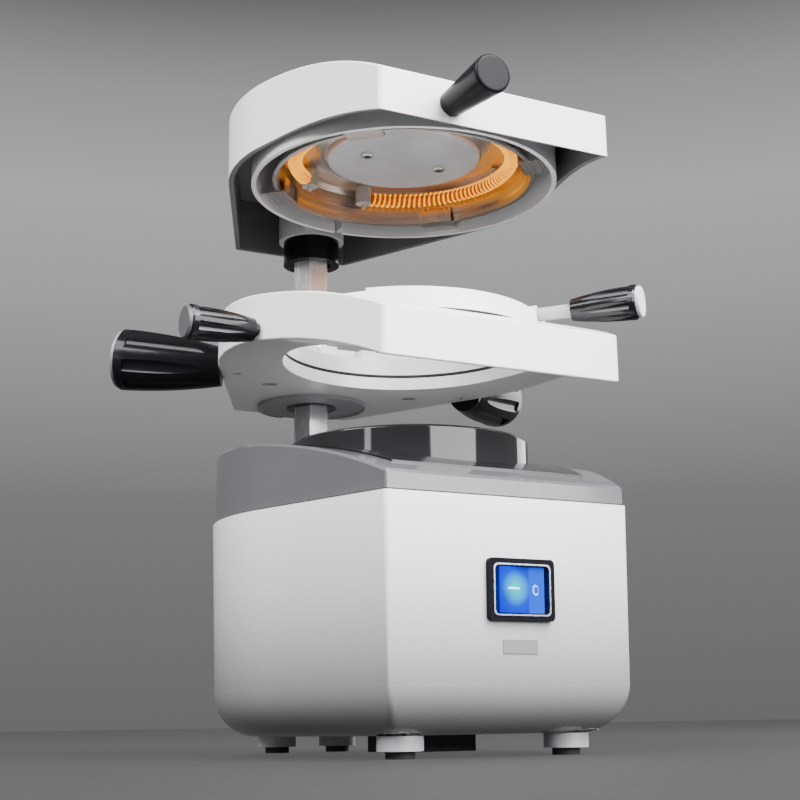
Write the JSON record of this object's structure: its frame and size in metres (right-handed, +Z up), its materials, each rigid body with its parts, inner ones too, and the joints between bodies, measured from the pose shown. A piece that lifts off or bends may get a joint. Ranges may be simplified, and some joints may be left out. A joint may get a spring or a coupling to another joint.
{
  "type": "dental vacuum former",
  "caption": "Tabletop vacuum former: white base with a platen, a sheet holder that slides on a post, and a swinging heater head over it.",
  "frame": {"origin": "middle of the machine's footprint on the table; the platen's axis is 9.1 mm in front of it", "axes": "+Z up, +Y to the rear where the post stands, +X to the right seen from the front"},
  "size_m": [0.2388, 0.2602, 0.305],
  "materials": {
    "white_plastic": "satin gloss moulding",
    "white_casting": "white paint on castings and sheet",
    "cover_grey": "dark silver gloss",
    "black_gloss": "black gloss",
    "black_metal": "black gloss paint",
    "black_matte": "matte black",
    "rubber": "black rubber",
    "grey_plastic": "grey moulding",
    "lever_mix": "black grip on a grey rod",
    "steel": "brushed",
    "bracket_casting": "as cast",
    "bright_steel": "bright plated",
    "copper": "varnished windings",
    "rotor": "machined",
    "ceramic": "unglazed",
    "hot_wire": "glowing heating wire on a ceramic former",
    "lit_blue": "translucent blue, lit from inside",
    "fuse_glass": "clear glass"
  },
  "bodies": {
    "base": {"base_shell": "white_plastic", "seam_gasket": "rubber", "top_cover": "cover_grey", "top_panel": "black_gloss", "platen_cup": "black_metal", "perforated_plate": "steel", "platen_seal": "rubber", "air_duct": "grey_plastic", "motor_can": "steel", "motor_plate": "steel", "motor_stator": "copper", "exhaust_block": "black_matte", "feet": "grey_plastic", "foot_pads": "rubber", "foot_screws": "steel", "cover_screws": "steel", "post": "steel", "post_bracket": "bracket_casting", "post_fasteners": "steel", "top_washer": "steel", "top_screw": "steel", "switch_bezel": "black_gloss", "switch_frame": "bright_steel", "switch_cradle": "black_matte", "label_plate": "grey_plastic", "mains_inlet": "black_matte", "inlet_pins": "bright_steel", "terminal_block": "black_matte", "terminal_screws": "copper"},
    "rotor": {"fan_rotor": "rotor"},
    "rocker": {"switch_rocker": "lit_blue"},
    "drawer": {"fuse_drawer": "black_matte", "fuse": "fuse_glass"},
    "holder": {"holder_frame": "white_casting", "holder_lid": "white_casting", "lid_screws": "steel", "underside_flange": "grey_plastic", "holder_bush": "black_gloss", "lower_gasket": "rubber", "hinge_pin": "steel", "handle_studs": "steel", "handle_grips": "black_gloss", "handle_caps": "grey_plastic"},
    "lock": {"lock_knob": "black_gloss"},
    "clamp": {"clamp_ring": "white_casting", "upper_gasket": "rubber"},
    "lever": {"clamp_lever": "lever_mix"},
    "head": {"head_shell": "white_casting", "head_boss": "grey_plastic", "collar": "black_gloss", "skirt_ring": "grey_plastic", "reflector": "steel", "centre_disc": "steel", "disc_screws": "bright_steel", "heating_coil": "hot_wire", "ceramics": "ceramic", "terminal_studs": "bright_steel", "standoffs": "steel", "head_handle": "black_gloss", "head_handle_bolt": "steel"}
  },
  "joints": [
    {"name": "holder_lift", "type": "slide", "parent": "base", "child": "holder", "axis": [0, 0, 1], "range_m": [-0.043, 0.018]},
    {"name": "clamp_open", "type": "hinge", "parent": "holder", "child": "clamp", "pos_m": [0, 0.0669, 0.198], "axis": [-1, 0, 0], "range_deg": [0, 12]},
    {"name": "lever_turn", "type": "hinge", "parent": "clamp", "child": "lever", "pos_m": [0.0431, -0.06426, 0.196], "axis": [0.6157, -0.788, 0], "range_deg": [0, 90]},
    {"name": "lock_turn", "type": "hinge", "parent": "holder", "child": "lock", "pos_m": [-0.09, -0.0191, 0.1846], "axis": [-1, 0, 0], "range_deg": [0, 180]},
    {"name": "head_swing", "type": "hinge", "parent": "base", "child": "head", "pos_m": [0, 0.0979, 0.27], "axis": [0, 0, 1], "range_deg": [-90, 90]},
    {"name": "rocker_tilt", "type": "hinge", "parent": "base", "child": "rocker", "pos_m": [0.003, -0.08931, 0.06613], "axis": [0, -0.0209, 0.9998], "range_deg": [-8, 0]},
    {"name": "drawer_slide", "type": "slide", "parent": "base", "child": "drawer", "axis": [0, 1, 0], "range_m": [0, 0.012]},
    {"name": "rotor_spin", "type": "hinge", "parent": "base", "child": "rotor", "pos_m": [0, -0.0091, 0.05], "axis": [0, 0, 1], "continuous": true}
  ]
}
